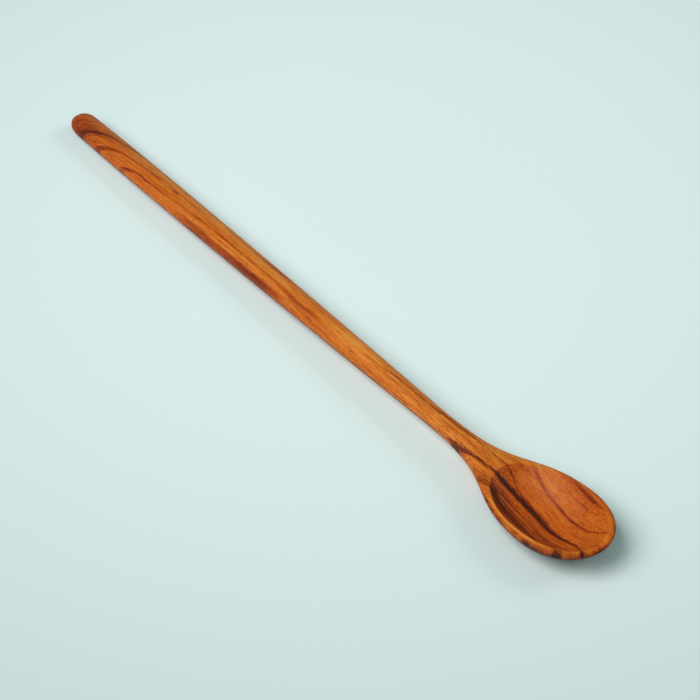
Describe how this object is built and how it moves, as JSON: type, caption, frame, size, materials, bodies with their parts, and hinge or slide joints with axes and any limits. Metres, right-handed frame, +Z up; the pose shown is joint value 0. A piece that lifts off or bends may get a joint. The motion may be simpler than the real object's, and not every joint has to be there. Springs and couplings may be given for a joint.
{
  "type": "wooden spoon",
  "caption": "Long slender wooden spoon for stirring and tasting, with a shallow egg-shaped bowl, a slim neck and a rounded handle.",
  "frame": {"origin": "on the table's plane under the middle of the spoon's length, between its two sides", "axes": "+X runs along the spoon from the handle's end to the bowl's tip, and +Z points up out of the open bowl"},
  "size_m": [0.3198, 0.0366, 0.0125],
  "materials": {
    "oiled_wood": "satin"
  },
  "bodies": {
    "root": {"spoon": "oiled_wood"}
  },
  "joints": []
}
